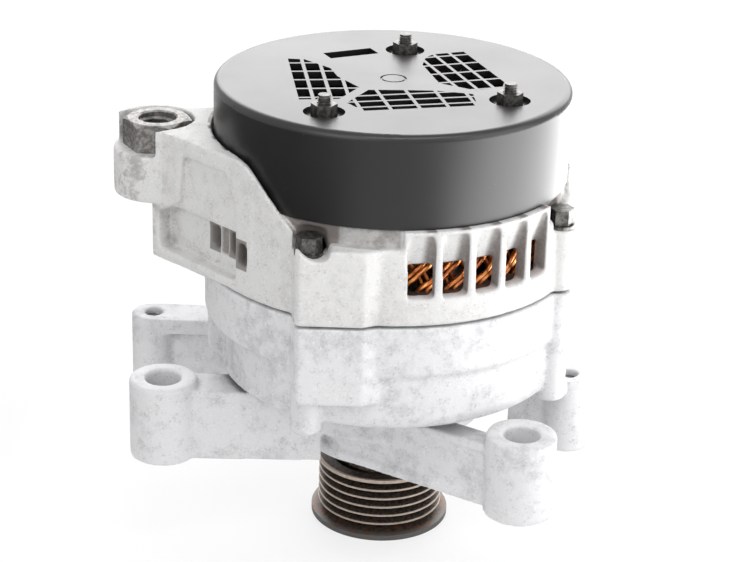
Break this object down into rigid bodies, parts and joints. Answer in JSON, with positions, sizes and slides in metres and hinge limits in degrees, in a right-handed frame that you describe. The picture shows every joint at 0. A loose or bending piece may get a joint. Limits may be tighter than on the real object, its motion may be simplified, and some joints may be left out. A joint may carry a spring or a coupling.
{
  "type": "alternator",
  "caption": "Belt-driven alternator with a ribbed pulley, cast brackets, open vents, a black rear cover, a spinning rotor and sprung brushes.",
  "frame": {"origin": "on the rotor axis, in the plane of the pulley's outer face", "axes": "+Z along the rotor axis towards the rear cover, -Y towards the side seen in the picture, +X to that view's right"},
  "size_m": [0.1782, 0.1605, 0.1814],
  "materials": {
    "cast_aluminium": "as cast, dull and oxidised",
    "cover_plastic": "smooth black",
    "zinc_steel": "zinc plated, dull",
    "pulley_steel": "dark, ridges polished by the belt",
    "shaft_steel": "turned",
    "fan_steel": "pressed sheet",
    "lamination_steel": "stacked laminations, varnished",
    "copper": "copper, varnished where wound",
    "bearing_steel": "ground",
    "heat_sink_aluminium": "pressed sheet",
    "black_moulding": "moulded",
    "carbon": "pressed carbon",
    "spring_steel": "bright wire"
  },
  "bodies": {
    "housing": {"b_plus_insulator": "black_moulding", "b_plus_nut": "zinc_steel", "b_plus_stud": "copper", "bearing_retainer": "zinc_steel", "brush_holder": "black_moulding", "brush_spring_inner": "spring_steel", "brush_spring_outer": "spring_steel", "captive_nut": "zinc_steel", "cover_nuts": "zinc_steel", "cover_studs": "zinc_steel", "drive_end_bracket": "cast_aluminium", "front_bearing_outer_race": "bearing_steel", "negative_diodes": "heat_sink_aluminium", "negative_heat_sink": "heat_sink_aluminium", "positive_diodes": "heat_sink_aluminium", "positive_heat_sink": "heat_sink_aluminium", "rear_bearing_outer_race": "bearing_steel", "rear_cover": "cover_plastic", "rectifier_insulators": "black_moulding", "rectifier_terminal_board": "black_moulding", "regulator_body": "black_moulding", "regulator_pins": "copper", "regulator_screws": "zinc_steel", "retainer_screws": "zinc_steel", "slip_ring_end_bracket": "cast_aluminium", "stator_core": "lamination_steel", "stator_winding": "copper", "through_bolts": "zinc_steel"},
    "rotor": {"pulley": "pulley_steel", "pulley_spacer": "pulley_steel", "pulley_nut": "zinc_steel", "rotor_shaft": "shaft_steel", "front_claw_pole": "shaft_steel", "rear_claw_pole": "shaft_steel", "coil_bobbin": "black_moulding", "field_coil": "copper", "front_fan": "fan_steel", "rear_fan": "fan_steel", "slip_ring_sleeve": "black_moulding", "slip_ring_inner": "copper", "slip_ring_outer": "copper", "front_bearing_inner_race": "bearing_steel", "rear_bearing_inner_race": "bearing_steel"},
    "front_cage": {"front_bearing_balls": "bearing_steel", "front_bearing_cage": "bearing_steel"},
    "rear_cage": {"rear_bearing_balls": "bearing_steel", "rear_bearing_cage": "bearing_steel"},
    "brush_inner": {"brush_inner": "carbon"},
    "brush_outer": {"brush_outer": "carbon"}
  },
  "joints": [
    {"name": "rotor_spin", "type": "hinge", "parent": "housing", "child": "rotor", "pos_m": [0, 0, 0], "axis": [0, 0, 1], "continuous": true},
    {"name": "front_cage_spin", "type": "hinge", "parent": "housing", "child": "front_cage", "pos_m": [0, 0, 0.042], "axis": [0, 0, 1], "continuous": true},
    {"name": "rear_cage_spin", "type": "hinge", "parent": "housing", "child": "rear_cage", "pos_m": [0, 0, 0.1325], "axis": [0, 0, 1], "continuous": true},
    {"name": "brush_inner_slide", "type": "slide", "parent": "housing", "child": "brush_inner", "axis": [-0.5, 0.866, 0], "range_m": [0, 0.004], "stiffness_N_per_m": 300, "springref_m": -0.006, "deforming": ["brush_spring_inner"]},
    {"name": "brush_outer_slide", "type": "slide", "parent": "housing", "child": "brush_outer", "axis": [-0.5, 0.866, 0], "range_m": [0, 0.004], "stiffness_N_per_m": 300, "springref_m": -0.006, "deforming": ["brush_spring_outer"]}
  ],
  "couplings": [
    {"joint": "front_cage_spin", "follows": "rotor_spin", "ratio": 0.3636},
    {"joint": "rear_cage_spin", "follows": "rotor_spin", "ratio": 0.4085}
  ]
}
